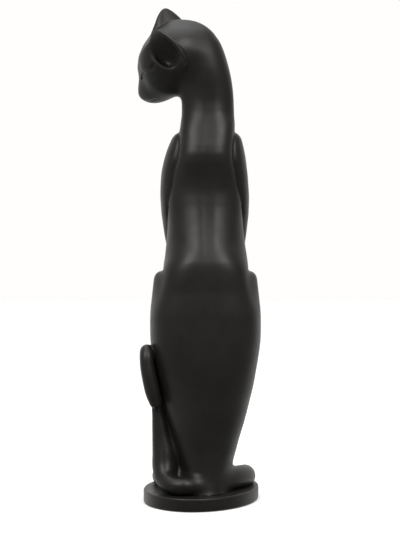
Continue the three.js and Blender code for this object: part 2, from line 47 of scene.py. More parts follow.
# ------------------------------------------------------------------ camera
cam_data = bpy.data.cameras.new("camera")
cam = bpy.data.objects.new("camera", cam_data)
bpy.context.scene.collection.objects.link(cam)
bpy.context.scene.camera = cam
cam_data.sensor_fit = "AUTO"
cam_data.sensor_width = 36.0
cam_data.lens = 36.0 * 1236.0 / 533.0
cam.location = (-0.00121, -1.0 + BODY_Y / 1000, 0.1903)
cam.rotation_euler = (math.radians(90), 0, 0)
cam_data.clip_start, cam_data.clip_end = 0.02, 60


# ------------------------------------------------------------------ field helpers (mm; body's axis at y=0)
def sstep(a, b, v):
    t = np.clip((v - a) / (b - a), 0, 1)
    return t * t * (3 - 2 * t)

def smin(a, b, k):
    h = np.maximum(k - np.abs(a - b), 0) / k
    return np.minimum(a, b) - h * h * k * 0.25

def smax(a, b, k):
    return -smin(-a, -b, k)

def table(rows):
    rows = np.array(rows, float)
    z, v = rows[:, 0], rows[:, 1:]
    d = (v[1:] - v[:-1]) / (z[1:] - z[:-1])[:, None]
    m = np.zeros_like(v)
    m[0], m[-1] = d[0], d[-1]
    pr = d[:-1] * d[1:]
    with np.errstate(divide="ignore", invalid="ignore"):
        hm = 2 * pr / (d[:-1] + d[1:])
    m[1:-1] = np.where(pr > 0, hm, 0)
    # fine lookup, linear between samples 0.25 mm apart
    n = int((z[-1] - z[0]) / 0.25) + 2
    q = np.linspace(z[0], z[-1], n)
    i = np.clip(np.searchsorted(z, q) - 1, 0, len(z) - 2)
    h = (z[i + 1] - z[i])[:, None]
    t = ((q - z[i])[:, None]) / h
    t2, t3 = t * t, t * t * t
    val = (2 * t3 - 3 * t2 + 1) * v[i] + (t3 - 2 * t2 + t) * h * m[i] + (-2 * t3 + 3 * t2) * v[i + 1] + (t3 - t2) * h * m[i + 1]
    return lambda x: [np.interp(x, q, val[:, c]) for c in range(v.shape[1])]

def loft(rows, cap, power=None):
    at = table(rows)
    z0, z1 = rows[0][0], rows[-1][0]
    def f(x, y, z):
        cx, cy, a, bb, bf = at(z)
        dx, dy = x - cx, y - cy
        b = np.where(dy < 0, bb, bf)
        l = np.hypot(dx, dy)
        if power is None:
            r = np.hypot(dx / a, dy / b)
        else:
            n = np.where(dy < 0, power(z), 2.0)
            r = (np.abs(dx / a) ** n + np.abs(dy / b) ** n) ** (1 / n)
        side = np.where(r < 1e-6, -np.minimum(a, b), l * (r - 1) / np.maximum(r, 1e-6))
        # soften the over-long distances of flat ovals
        return smax(side, np.maximum(z0 - z, z - z1), cap)
    return f

def ellipsoid(x, y, z, rx, ry, rz):
    k0 = np.sqrt((x / rx) ** 2 + (y / ry) ** 2 + (z / rz) ** 2)
    k1 = np.sqrt((x / rx ** 2) ** 2 + (y / ry ** 2) ** 2 + (z / rz ** 2) ** 2)
    return k0 * (k0 - 1) / np.maximum(k1, 1e-9)

def catmull(points, n):
    P = np.array(points, float)
    t = [0.0]
    for i in range(1, len(P)):
        t.append(t[-1] + max(np.linalg.norm(P[i, :3] - P[i - 1, :3]), 1e-6) ** 0.5)
    t = np.array(t)
    d = (P[1:] - P[:-1]) / (t[1:] - t[:-1])[:, None]
    m = np.zeros_like(P)
    m[0], m[-1] = d[0], d[-1]
    w = (t[1:-1] - t[:-2])[:, None]
    w2 = (t[2:] - t[1:-1])[:, None]
    m[1:-1] = (d[:-1] * w2 + d[1:] * w) / (w + w2)
    q = np.linspace(0, t[-1], n + 1)
    i = np.clip(np.searchsorted(t, q) - 1, 0, len(t) - 2)
    h = (t[i + 1] - t[i])[:, None]
    s = (q - t[i])[:, None] / h
    s2, s3 = s * s, s * s * s
    return (2 * s3 - 3 * s2 + 1) * P[i] + (s3 - 2 * s2 + s) * h * m[i] + (-2 * s3 + 3 * s2) * P[i + 1] + (s3 - s2) * h * m[i + 1]

def chain(line):
    def f(x, y, z):
        best = np.full(np.shape(x), 1e9)
        for i in range(len(line) - 1):
            p, q = line[i], line[i + 1]
            u = q[:3] - p[:3]
            uu = float(u @ u)
            t = np.clip(((x - p[0]) * u[0] + (y - p[1]) * u[1] + (z - p[2]) * u[2]) / uu, 0, 1)
            d = np.sqrt((x - p[0] - t * u[0]) ** 2 + (y - p[1] - t * u[1]) ** 2 + (z - p[2] - t * u[2]) ** 2) - (p[3] + t * (q[3] - p[3]))
            best = np.minimum(best, d)
        return best
    return f

def within(fn, lo, hi, pad):
    """fn, worked out only inside its box grown by pad; a plain distance further off"""
    def f(x, y, z):
        d = np.maximum(np.maximum(np.maximum(lo[0] - x, x - hi[0]), np.maximum(lo[1] - y, y - hi[1])), np.maximum(lo[2] - z, z - hi[2]))
        out = np.maximum(d, pad) + 0.0
        m = d < pad
        if m.any():
            out[m] = fn(x[m], y[m], z[m])
        return out
    return f

# ------------------------------------------------------------------ tables
TORSO = [
  [60, 3.2, 0, 12, 10, 10],
  [100, 3.2, 0, 20, 16, 14],
  [130, 3.2, 0, 28, 26, 18],
  [150, 3.2, 0, 32, 33, 20],
  [165, 3.2, 0, 33.5, 35.4, 22],
  [176, 3.3, 0, 34.2, 35.8, 25],
  [186, 3.4, 0, 34.4, 35.4, 27],
  [192, 3.5, 0, 34.0, 34.8, 27.6],
  [198, 3.6, 0, 33.2, 33.2, 28.4],
  [206, 3.4, 0, 32.2, 30.2, 29.4],
  [216, 3.2, 0, 31.0, 26.2, 30.2],
  [228, 3.0, 0, 30.2, 22.4, 30.8],
  [240, 2.8, 0, 30.0, 19.8, 31],
  [250, 2.6, 0, 29.6, 18.8, 31],
  [260, 2.4, 0, 28.2, 19.8, 30.4],
  [268, 2.4, 0, 26.2, 21.8, 29.4],
  [274, 2.7, 0, 24.6, 23.3, 28.4],
  [279, 3.0, 0, 23.7, 23.7, 27.8],
  [285, 3.4, 0, 23.2, 22.8, 27],
  [292, 4.0, 0, 22.9, 20.6, 25.9],
  [299, 4.5, 0, 22.4, 18.2, 24.9],
  [306, 5.0, 0, 21.9, 16.1, 23.8],
  [314, 5.2, 0, 21.2, 14.5, 22.8],
  [323, 5.0, 0, 21.1, 13.8, 22.2],
  [332, 4.3, 0, 21.2, 14.4, 22],
  [341, 2.9, 0, 21.4, 15.6, 21.5],
  [350, 0.8, 0, 21.6, 16.6, 21.0],
  [360, -2.6, 0, 22.2, 17.0, 20.4],
  [370, -7.0, 0, 22.8, 15.8, 19.2],
  [378, -11, 0, 21.6, 13.2, 17.0],
  [384, -13.6, 0, 17.9, 9.6, 13.5],
  [388, -15.5, 0, 12.2, 6, 9.5],
  [389.6, -16.5, 0, 7, 3.5, 5.5],
]
HAUNCH = [
  [8, 3.2, 0, 20.5, 33.0, 26],
  [14, 3.2, 0, 20.3, 31.0, 25],
  [22, 3.2, 0, 20.6, 29.2, 24],
  [34, 3.2, 0, 22.6, 28.2, 24],
  [42, 3.2, 0, 24.8, 28.2, 26],
  [50, 3.2, 0, 26.9, 29, 28],
  [58, 3.2, 0, 29.3, 30.2, 30],
  [66, 3.2, 0, 31.7, 31.4, 31.8],
  [74, 3.2, 0, 33.8, 32.6, 33.4],
  [82.5, 3.2, 0, 35.9, 33.8, 35],
  [90.6, 3.2, 0, 37.9, 34.8, 36.4],
  [98.7, 3.2, 0, 39.6, 35.6, 37.4],
  [106.8, 3.2, 0, 41.0, 36.2, 38.2],
  [115, 3.2, 0, 42.4, 36.8, 38.6],
  [123, 3.2, 0, 43.5, 37.1, 38.6],
  [131, 3.2, 0, 44.4, 37.3, 38.2],
  [139, 3.2, 0, 44.7, 37.2, 37.6],
  [147, 3.2, 0, 44.7, 37.0, 36.6],
  [155, 3.2, 0, 44.4, 36.7, 35.4],
  [163, 3.2, 0, 43.6, 36.2, 33.8],
  [171.5, 3.2, 0, 42.7, 35.4, 32],
  [180, 3.2, 0, 41.7, 34.0, 30],
  [187, 3.2, 0, 40.6, 32, 29],
]
CHANNEL = [
  [-20, 3.2, 52, 20, 30, 40],
  [12, 3.2, 52, 20, 30, 40],
  [90, 3.2, 52, 20.5, 31, 40],
  [130, 3.2, 52, 21, 30, 40],
  [175, 3.2, 52, 24, 24, 40],
]
FORELEG = [
  [11, 10.4, 39, 9.6, 10, 11],
  [25, 9.9, 38.5, 9.2, 9.4, 9.6],
  [40, 9.5, 38, 8.9, 8.9, 9.0],
  [80, 9.5, 37, 9.1, 9.2, 9.2],
  [120, 9.9, 35.3, 9.4, 9.6, 9.6],
  [150, 11.6, 32.5, 9.6, 9.8, 9.8],
  [170, 14.2, 29.5, 9.7, 10, 10],
  [185, 17.0, 26, 9.8, 10.2, 10.2],
  [195, 19.2, 23.6, 10, 10.0, 10.6],
  [205, 21.2, 20.5, 10.4, 10.2, 11.2],
  [215, 22.6, 17.6, 10.8, 11, 12],
  [225, 23.5, 15, 11.2, 13.2, 13],
  [235, 24.2, 12.6, 11.6, 15.2, 14],
  [244, 24.2, 10.4, 12, 16.2, 15],
  [254, 23.5, 8.2, 12.5, 16.8, 16],
  [263.7, 22.8, 6.2, 12.5, 17.2, 16],
  [273.4, 21.6, 4.6, 12.3, 17.4, 16],
  [283, 20.0, 3.4, 11.8, 16.0, 15.5],
  [292.8, 17.6, 2.4, 11, 13.2, 13],
  [299.5, 15.4, 2, 10.4, 10.4, 11],
]
TAIL = [
  [4, -16, 17, 6.0],
  [-6, -25.5, 17.2, 7.0],
  [-14, -28.8, 17.4, 7.3],
  [-23, -25.5, 18, 7.5],
  [-28.6, -17, 22, 8.4],
  [-29.5, -10.5, 30, 9.9],
  [-30.2, -8.2, 41, 9.3],
  [-32.0, -7.6, 52, 7.6],
  [-33.6, -7.6, 63, 6.1],
  [-35.1, -7.8, 74, 4.7],
  [-36.4, -8.6, 84, 4.3],
  [-38.0, -8.4, 96, 4.8],
  [-40.0, -8.4, 107, 5.2],
  [-42.4, -9.4, 117, 5.4],
  [-43.4, -12.8, 122.6, 5.6],
  [-43.6, -17.0, 119.0, 5.6],
  [-42.9, -18.8, 110, 5.7],
  [-41.0, -19.0, 100, 5.9],
  [-38.8, -18.4, 90, 5.8],
  [-36.6, -17.6, 82.6, 5.0],
]
HIND_FOOT = [
  [6, -16, 18, 8.4],
  [16, -8, 18.4, 9.2],
  [26, 6, 18.4, 9.7],
  [32.6, 20, 17.4, 9.3],
  [34.0, 36, 15.8, 8.5],
  [32.2, 47, 14, 7.0],
]
BODY_X = 3.2

torso_at = table(TORSO)
torso = loft(TORSO, 1.5, lambda z: 2 + 0.9 * sstep(252, 276, z) * (1 - sstep(298, 316, z)) + 1.3 * (1 - sstep(176, 212, z)))
barrel = loft(HAUNCH, 7, lambda z: 2 + 0.7 * sstep(80, 150, z))
barrel_open = loft([[-40] + HAUNCH[0][1:]] + HAUNCH[:-2] + [[200, 3.2, 0, 41.4, 34.6, 31], [260, 3.2, 0, 41, 34.4, 31]], 2, lambda z: 2 + 0.7 * sstep(80, 150, z))
channel = loft(CHANNEL, 10)

def body_f(x, y, z):
    t = torso(x, y, z)
    # the haunch's top edge falls towards the knee in front
    drop = 1 - (0.021 * np.clip(y, 0, 60) ** 2) / 188
    b = barrel(x, y, z / drop)
    back = sstep(-7, -24, y)
    w = sstep(150, 200, z)
    d = smin(t, b, 1.4) * (1 - back) + back * (barrel_open(x, y, z) * (1 - w) + t * w)
    d = smax(d, -channel(x, y, z), 4)
    xs = torso_at(z)[0] + 1.2
    g = 0.7 * sstep(186, 214, z) * (1 - 0.6 * sstep(262, 300, z)) * (1 - sstep(318, 336, z))
    d = d + g * np.exp(-((x - xs) / 4.5) ** 2) * sstep(-4, -12, y)
    return d

foreleg = loft(FORELEG, 7)
def leg_f(side):
    def f(x, y, z):
        cx = torso_at(z)[0]
        leg = foreleg(side * (x - cx), y, z)
        paw = ellipsoid(side * (x - BODY_X) - 11.2, y - 45, z - 16.4, 10.6, 14.5, 7.4)
        return smin(leg, paw, 6)
    return within(f, (-40, -16, 8) if side < 0 else (-2, -16, 8), (8, 62, 302) if side < 0 else (46, 62, 302), 9)
foot_chain = within(chain(catmull(HIND_FOOT, 40)), (-6, -28, 4), (47, 60, 32), 9)
def foot_f(side):
    return lambda x, y, z: foot_chain(side * (x - 2.0), y, z)
tail_f = within(chain(catmull(TAIL, 110)), (-52, -40, 6), (14, 0, 132), 9)

# ------------------------------------------------------------------ plinth
PLINTH = dict(a=45.8, b=60.0, turn=-16.0, z0=0.3, z1=10.5, edge=1.3, cy=14.0)
def plinth_f(x, y, z):
    w = np.radians(PLINTH["turn"])
    yy = y - PLINTH["cy"]
    u = x * np.cos(w) + yy * np.sin(w)
    v = -x * np.sin(w) + yy * np.cos(w)
    e = PLINTH["edge"]
    a, b = PLINTH["a"] - e, PLINTH["b"] - e
    k0 = np.hypot(u / a, v / b)
    k1 = np.hypot(u / a ** 2, v / b ** 2)
    side = k0 * (k0 - 1) / np.maximum(k1, 1e-9)
    mid = 0.5 * (PLINTH["z0"] + PLINTH["z1"])
    hz = 0.5 * (PLINTH["z1"] - PLINTH["z0"]) - e
    dz = np.abs(z - mid) - hz
    return np.minimum(np.maximum(side, dz), 0) + np.hypot(np.maximum(side, 0), np.maximum(dz, 0)) - e

# ------------------------------------------------------------------ head (own axes: f forward, s to its left, t up)
HEAD_C = np.array([-27.0, 1.0, 355.7])
_s = np.array([-0.09, -0.855, -0.51]); _s /= np.linalg.norm(_s)
_f = np.array([-np.cos(np.radians(28)), 0.0, -np.sin(np.radians(28))])
_f[1] = -(_s[0] * _f[0] + _s[2] * _f[2]) / _s[1]
_f /= np.linalg.norm(_f)
_t = np.cross(_f, _s)
def to_head(x, y, z):
    d = (x - HEAD_C[0], y - HEAD_C[1], z - HEAD_C[2])
    return [a[0] * d[0] + a[1] * d[1] + a[2] * d[2] for a in (_f, _s, _t)]
def from_head(f, s, t):
    return HEAD_C + f * _f + s * _s + t * _t

def seg(p, q, r0, r1):
    p, q = np.array(p, float), np.array(q, float)
    u = q - p
    uu = float(u @ u)
    def f(x, y, z):
        t = np.clip(((x - p[0]) * u[0] + (y - p[1]) * u[1] + (z - p[2]) * u[2]) / uu, 0, 1)
        return np.sqrt((x - p[0] - t * u[0]) ** 2 + (y - p[1] - t * u[1]) ** 2 + (z - p[2] - t * u[2]) ** 2) - (r0 + t * (r1 - r0))
    return f

bridge = seg((17.4, 0, 3.2), (30.2, 0, -11.8), 8.0, 5.2)

# ear axes in the head's own frame
EAR_B = np.array([-10.5, 15.6, 12.0])
_eu = np.array([-5.9, 9.6, 21.6]); _eu /= np.linalg.norm(_eu)
_ew = np.array([0.72, -0.588, 0.368]); _ew -= _eu * (_ew @ _eu); _ew /= np.linalg.norm(_ew)
_en = np.cross(_eu, _ew)
if _en[0] < 0: _en = -_en
EAR_H = 24.4
def ear_parts(f, s, t):
    a = np.abs(s)
    d = (f - EAR_B[0], a - EAR_B[1], t - EAR_B[2])
    w, u, n = [e[0] * d[0] + e[1] * d[1] + e[2] * d[2] for e in (_ew, _eu, _en)]
    k = np.clip((u + 8) / (EAR_H + 8), 0, 1)
    hw = 15.6 * np.maximum(1 - k ** 2.5, 0) ** 0.72 + 0.6
    dp = 9.5 * (1 - k ** 1.5) + 1.2
    # convex back, flat front at n=+1.5
    r = np.hypot(w / hw, np.minimum(n - 1.5, 0) / dp)
    l = np.hypot(w, np.minimum(n - 1.5, 0))
    outer = np.where(r < 1e-6, -np.minimum(hw, dp), l * (r - 1) / np.maximum(r, 1e-6))
    outer = smax(outer, n - 1.5, 1.6)
    outer = smax(outer, np.maximum(u - EAR_H, -10 - u), 1.5)
    # the scoop
    inner = ellipsoid(w + 2, u - 6, n - 6.0, 11.8, 16, 6.8)
    return outer, inner, w, u, n

def skull_f(f, s, t):
    a = np.abs(s)
    d = ellipsoid(f + 3.5, s, t - 2, 27, 22, 24)
    d = smin(d, ellipsoid(f - 7, s, t + 8, 18, 19.5, 15), 6)
    d = smin(d, bridge(f, s, t), 5)
    d = smin(d, ellipsoid(f - 23, s, t + 12.6, 11, 10.5, 8.6), 8)
    d = smin(d, ellipsoid(f - 22.6, s, t + 16.2, 8.5, 8, 6.5), 6)
    d = smin(d, ellipsoid(f - 9, s, t + 13.6, 17, 14.5, 11.5), 10)
    return d

def head_only(x, y, z):
    f, s, t = to_head(x, y, z)
    d = skull_f(f, s, t)
    d = smin(d, body_f(x, y, z), 9)
    return d

def groove(line, a, s_, t, w):
    """a gaussian of the distance from a line of points"""
    best = np.full(np.shape(a), 1e9)
    for p, q in zip(line[:-1], line[1:]):
        best = np.minimum(best, seg(p, q, 0, 0)(a, s_, t))
    return np.exp(-(best / w) ** 2)

EYE = [(4.6, 20.2, 10.0), (6.4, 19.8, 8.2), (8.6, 19.1, 7.1), (11.4, 17.6, 6.8), (14.8, 15.5, 7.0), (17.8, 12.9, 6.4), (20.6, 10.0, 4.6), (23.4, 7.4, 1.6)]
def face(f, s, t):
    """closed eyes, cheeks and mouth: the amounts taken off the head's field"""
    a = np.abs(s)
    e = 1.15 * groove(EYE, f, a, t, 1.0)
    e = e - 0.55 * groove([(9, 18.9, 11.4), (12.5, 17.6, 11.2), (17, 14, 10.4)], f, a, t, 4.4)
    e = e - 0.35 * groove([(20.2, 10.8, 1.4), (17.1, 16.0, -4.4), (13.5, 17.6, -12)], f, a, t, 5.0)
    e = e + 1.0 * groove([(1.5, 17.4, -16.5), (-3, 18, -14)], f, a, t, 6.0)
    e = e + 0.55 * groove([(34.4, 0.0, -15.2), (31.6, 5.6, -16.6), (26.5, 9.6, -17.4), (23, 11.6, -17)], f, a, t, 1.1)
    e = e + 1.1 * groove([(14.5, 0, 22.5), (4, 0, 26.4)], f, s, t, 5.0)
    return e

def head_f(x, y, z):
    f, s, t = to_head(x, y, z)
    d = head_only(x, y, z) + face(f, s, t)
    o, i, w, u, n = ear_parts(f, s, t)
    d = smin(d, o, 1.6 + 6.5 * sstep(-2.5, 1.5, n))
    d = smax(d, -i, 4.5)
    return d

# ------------------------------------------------------------------ meshing
def evaluate(fn, lo, hi, h):
    """The field on a grid, worked out in full only near the surface."""
    B = 8
    lo, hi = np.array(lo, float), np.array(hi, float)
    nb = np.ceil((hi - lo) / (h * B)).astype(int)
    c = [lo[i] + (np.arange(nb[i]) + 0.5) * B * h - 0.5 * h for i in range(3)]
    X, Y, Z = np.meshgrid(*c, indexing="ij")
    coarse = fn(X.ravel(), Y.ravel(), Z.ravel()).reshape(X.shape)
    a = np.repeat(np.repeat(np.repeat(np.sign(coarse).astype(np.float32) * 3 * h, B, 0), B, 1), B, 2)
    near = np.argwhere(np.abs(coarse) < B * h * 0.9 + 4.0)
    q = np.arange(B) * h
    ox, oy, oz = [v.ravel() for v in np.meshgrid(q, q, q, indexing="ij")]
    step = 3000
    for s in range(0, len(near), step):
        k = near[s:s + step]
        base = lo + k * B * h
        v = fn((base[:, 0:1] + ox).ravel(), (base[:, 1:2] + oy).ravel(), (base[:, 2:3] + oz).ravel())
        v = np.clip(v, -3 * h, 3 * h).astype(np.float32).reshape(-1, B, B, B)
        for j, (i0, i1, i2) in enumerate(k * B):
            a[i0:i0 + B, i1:i1 + B, i2:i2 + B] = v[j]
    return a, lo

def gradient(fn, p):
    e = 0.05
    x, y, z = p[:, 0], p[:, 1], p[:, 2]
    g = np.stack([fn(x + e * (i == 0), y + e * (i == 1), z + e * (i == 2)) - fn(x - e * (i == 0), y - e * (i == 1), z - e * (i == 2)) for i in range(3)], -1)
    return g / np.maximum(np.linalg.norm(g, axis=-1, keepdims=True), 1e-9)

def surface(fn, lo, hi, h, project=2):
    a, lo = evaluate(fn, lo, hi, h)
    a[0], a[-1], a[:, 0], a[:, -1], a[:, :, 0], a[:, :, -1] = (3 * h,) * 6
    g = openvdb.FloatGrid(float(3 * h))
    g.copyFromArray(np.ascontiguousarray(a))
    p, tri, quad = g.convertToPolygons(isovalue=0.0, adaptivity=0.0)
    p = p.astype(float) * h + lo
    e = 0.05
    for _ in range(project):
        d = fn(p[:, 0], p[:, 1], p[:, 2])
        gr = np.stack([fn(p[:, 0] + e * (i == 0), p[:, 1] + e * (i == 1), p[:, 2] + e * (i == 2)) - d for i in range(3)], -1) / e
        n2 = np.maximum((gr * gr).sum(-1, keepdims=True), 0.2)
        p = p - np.clip(gr * (d[:, None] / n2), -0.6 * h, 0.6 * h)
    return p, [tuple(t) for t in tri.tolist()] + [tuple(t) for t in quad.tolist()]

def piece(name, fn, lo, hi, h, material, slot, *nodes):
    p, faces = surface(fn, lo, hi, h)
    me = bpy.data.meshes.new(name)
    # shading normals straight from the form
    nrm = gradient(fn, p)
    if hasattr(fn, "label"):
        g = fn.label(p[:, 0], p[:, 1], p[:, 2])
        v = whole(p[:, 0], p[:, 1], p[:, 2]) + sunk(g)
        on = (g < 2.2) & (np.abs(v) < 0.12)
        nrm[on] = gradient(whole, p[on])
    p = p + np.array([0, BODY_Y, 0])
    me.from_pydata((p / 1000).tolist(), [], faces)
    at = me.attributes.new("form_normal", "FLOAT_VECTOR", "POINT")
    at.data.foreach_set("vector", nrm.astype(np.float32).ravel())
    # loose islands left by a cut are dropped
    bm = bmesh.new()
    bm.from_mesh(me)
    seen, parts = set(), []
    for v in bm.verts:
        if v.index in seen:
            continue
        seen.add(v.index)
        part, todo = [], [v]
        while todo:
            q = todo.pop()
            part.append(q)
            for e in q.link_edges:
                w = e.other_vert(q)
                if w.index not in seen:
                    seen.add(w.index)
                    todo.append(w)
        parts.append(part)
    parts.sort(key=len)
    for part in parts[:-1]:
        if len(part) < 0.02 * len(parts[-1]):
            bmesh.ops.delete(bm, geom=part, context="VERTS")
    bm.to_mesh(me)
    bm.free()
    me.polygons.foreach_set("use_smooth", [True] * len(me.polygons))
    me.update()
    q = np.empty(len(me.vertices) * 3, np.float32)
    me.attributes["form_normal"].data.foreach_get("vector", q)
    me.normals_split_custom_set_from_vertices(q.reshape(-1, 3).tolist())
    me.attributes.remove(me.attributes["form_normal"])
    o = bpy.data.objects.new(name, me)
    bpy.context.scene.collection.objects.link(o)
    me.materials.append(material)
    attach(o, "root")
    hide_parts(*nodes)
    return o

# ------------------------------------------------------------------ materials
def node(t, kind, **sockets):
    n = t.nodes.new(kind)
    for k, v in sockets.items():
        n.inputs[k.replace("_", " ")].default_value = v
    return n

def link(t, a, out, b, into):
    t.links.new(a.outputs[out], b.inputs[into])

def noise(t, at, scale, detail=3.0, rough=0.5):
    n = t.nodes.new("ShaderNodeTexNoise")
    n.inputs["Scale"].default_value, n.inputs["Detail"].default_value, n.inputs["Roughness"].default_value = scale, detail, rough
    t.links.new(at.outputs["Object"], n.inputs["Vector"])
    return n

def span(t, source, a0, a1, b0, b1):
    n = t.nodes.new("ShaderNodeMapRange")
    n.inputs["From Min"].default_value, n.inputs["From Max"].default_value = a0, a1
    n.inputs["To Min"].default_value, n.inputs["To Max"].default_value = b0, b1
    t.links.new(source, n.inputs["Value"])
    return n

def ceramic_material():
    """satin black glaze: slow drifts of tone and sheen, a faint orange-peel, and scattered pinholes"""
    m = bpy.data.materials.new("black_ceramic")
    m.use_nodes = True
    t = m.node_tree
    b = t.nodes["Principled BSDF"]
    at = t.nodes.new("ShaderNodeTexCoord")
    drift = noise(t, at, 26.0, 3.0, 0.55)
    tone = t.nodes.new("ShaderNodeValToRGB")
    e = tone.color_ramp.elements
    e[0].position, e[0].color = 0.32, (0.0060, 0.0056, 0.0054, 1)
    e[1].position, e[1].color = 0.68, (0.0088, 0.0081, 0.0076, 1)
    link(t, drift, "Fac", tone, "Fac")
    link(t, tone, "Color", b, "Base Color")
    sheen = noise(t, at, 70.0, 4.0, 0.6)
    rough = span(t, sheen.outputs["Fac"], 0.3, 0.7, 0.375, 0.465)
    link(t, rough, "Result", b, "Roughness")
    b.inputs["IOR"].default_value = 1.5
    b.inputs["Specular IOR Level"].default_value = 0.3
    peel = noise(t, at, 900.0, 2.0, 0.5)
    slow = noise(t, at, 95.0, 2.0, 0.5)
    pin = t.nodes.new("ShaderNodeTexVoronoi")
    pin.inputs["Scale"].default_value = 260.0
    t.links.new(at.outputs["Object"], pin.inputs["Vector"])
    hole = span(t, pin.outputs["Distance"], 0.0, 0.09, 0.0, 1.0)
    b1 = t.nodes.new("ShaderNodeBump")
    b1.inputs["Strength"].default_value, b1.inputs["Distance"].default_value = 0.12, 0.00012
    link(t, peel, "Fac", b1, "Height")
    b2 = t.nodes.new("ShaderNodeBump")
    b2.inputs["Strength"].default_value, b2.inputs["Distance"].default_value = 0.10, 0.0008
    link(t, slow, "Fac", b2, "Height")
    link(t, b1, "Normal", b2, "Normal")
    b3 = t.nodes.new("ShaderNodeBump")
    b3.inputs["Strength"].default_value, b3.inputs["Distance"].default_value = 0.25, 0.0001
    link(t, hole, "Result", b3, "Height")
    link(t, b2, "Normal", b3, "Normal")
    link(t, b3, "Normal", b, "Normal")
    return m

def felt_material():
    """pressed black felt: matted fibres"""
    m = bpy.data.materials.new("felt")
    m.use_nodes = True
    t = m.node_tree
    b = t.nodes["Principled BSDF"]
    at = t.nodes.new("ShaderNodeTexCoord")
    fibre = noise(t, at, 1400.0, 5.0, 0.75)
    tone = t.nodes.new("ShaderNodeValToRGB")
    e = tone.color_ramp.elements
    e[0].position, e[0].color = 0.3, (0.016, 0.015, 0.014, 1)
    e[1].position, e[1].color = 0.7, (0.048, 0.045, 0.042, 1)
    link(t, fibre, "Fac", tone, "Fac")
    link(t, tone, "Color", b, "Base Color")
    rough = span(t, fibre.outputs["Fac"], 0.3, 0.7, 0.9, 1.0)
    link(t, rough, "Result", b, "Roughness")
    b1 = t.nodes.new("ShaderNodeBump")
    b1.inputs["Strength"].default_value, b1.inputs["Distance"].default_value = 0.8, 0.0004
    link(t, fibre, "Fac", b1, "Height")
    link(t, b1, "Normal", b, "Normal")
    return m

CERAMIC = ceramic_material()
FELT = felt_material()

# ------------------------------------------------------------------ the members
legs = {"left": leg_f(-1), "right": leg_f(1)}
feet = {"left": foot_f(-1), "right": foot_f(1)}
def members(x, y, z):
    """each member's own form, before they are worked into one another"""
    f, s, t = to_head(x, y, z)
    o = ear_parts(f, s, t)[0]
    m = {"body": body_f(x, y, z), "tail": tail_f(x, y, z)}
    m["skull"] = skull_f(f, s, t)
    m["left_ear"] = np.where(s > 0, o, 99.0)
    m["right_ear"] = np.where(s < 0, o, 99.0)
    for k in ("left", "right"):
        m[k + "_foreleg"] = legs[k](x, y, z)
        m[k + "_hind_foot"] = feet[k](x, y, z)
    return m

def whole(x, y, z):
    """the whole cat as one surface"""
    d = body_f(x, y, z)
    if np.max(z) > 296:
        d = np.where(z > 298, head_f(x, y, z), d)
    if np.min(z) < 306:
        for k in ("left", "right"):
            a = legs[k](x, y, z)
            e = a - d
            # the cleft between the upper arm and the ribs
            deep = 0.5 * (1 - sstep(292, 300, z)) + 2.4 * sstep(200, 208, z) * (1 - sstep(232, 242, z))
            deep = deep * (1 - sstep(-4, 4, y)) * sstep(196, 204, z)
            d = smin(d, a, 1.2) + deep * np.exp(-(e / 1.3) ** 2)
            if np.min(z) < 60:
                d = smin(d, feet[k](x, y, z), 5.0)
    if np.min(z) < 140:
        d = smin(d, tail_f(x, y, z), 2.0 + 4.0 * (1 - sstep(40, 72, z)))
    return d

def sunk(g):
    """how far a member's surface dips under its neighbour's, past their common edge"""
    q = np.clip(g, 0, 6)
    return 0.3 * q * q

def share(label, extra=None):
    """the part of the whole that belongs to one member; it runs on a little way under its neighbours"""
    def fn(x, y, z):
        g = label(x, y, z)
        d = smax(whole(x, y, z) + sunk(g), g - 3.2, 1.0)
        return d if extra is None else np.maximum(d, extra(x, y, z))
    fn.label = label
    return fn

def lowest(m, *names):
    d = m[names[0]]
    for n in names[1:]:
        d = np.minimum(d, m[n])
    return d

LIMBS = ("left_foreleg", "right_foreleg", "left_hind_foot", "right_hind_foot", "tail")
def body_label(x, y, z):
    m = members(x, y, z)
    return np.maximum(m["body"] - lowest(m, *LIMBS), z - NECK_CUT)
def limb_label(name):
    rest = [n for n in LIMBS if n != name]
    def fn(x, y, z):
        m = members(x, y, z)
        return m[name] - np.minimum(lowest(m, *rest), m["body"])
    return fn
def head_label(x, y, z):
    m = members(x, y, z)
    return np.maximum(np.minimum(m["skull"], m["body"]) - lowest(m, "left_ear", "right_ear"), NECK_CUT - z)
def ear_label(name):
    def fn(x, y, z):
        m = members(x, y, z)
        return m[name] - np.minimum(m["skull"], m["body"])
    return fn
NECK_CUT = 312.0
def standing(x, y, z):
    return 10.3 - z
def chamber(x, y, z):
    """the body's hollow, as far as it can be seen through the vent"""
    c = ellipsoid(x - BODY_X, y, z - 46, 15, 15, 34)
    return np.maximum(10.3 - z, -smin(c, np.maximum(np.hypot(x - BODY_X, y) - 9, z - 30), 3))

def underside(x, y, z):
    """the plinth with its shallow recess and the vent"""
    w = np.radians(PLINTH["turn"])
    yy = y - PLINTH["cy"]
    u = x * np.cos(w) + yy * np.sin(w)
    v = -x * np.sin(w) + yy * np.cos(w)
    a, b = PLINTH["a"] - 10.3, PLINTH["b"] - 10.3
    k0 = np.hypot(u / a, v / b)
    k1 = np.hypot(u / a ** 2, v / b ** 2)
    recess = np.maximum(k0 * (k0 - 1) / np.maximum(k1, 1e-9), z - PLINTH["z0"] - 2.0)
    vent = np.hypot(x - BODY_X, y) - 9
    return smax(smax(plinth_f(x, y, z), -recess, 0.8), -vent, 0.8)

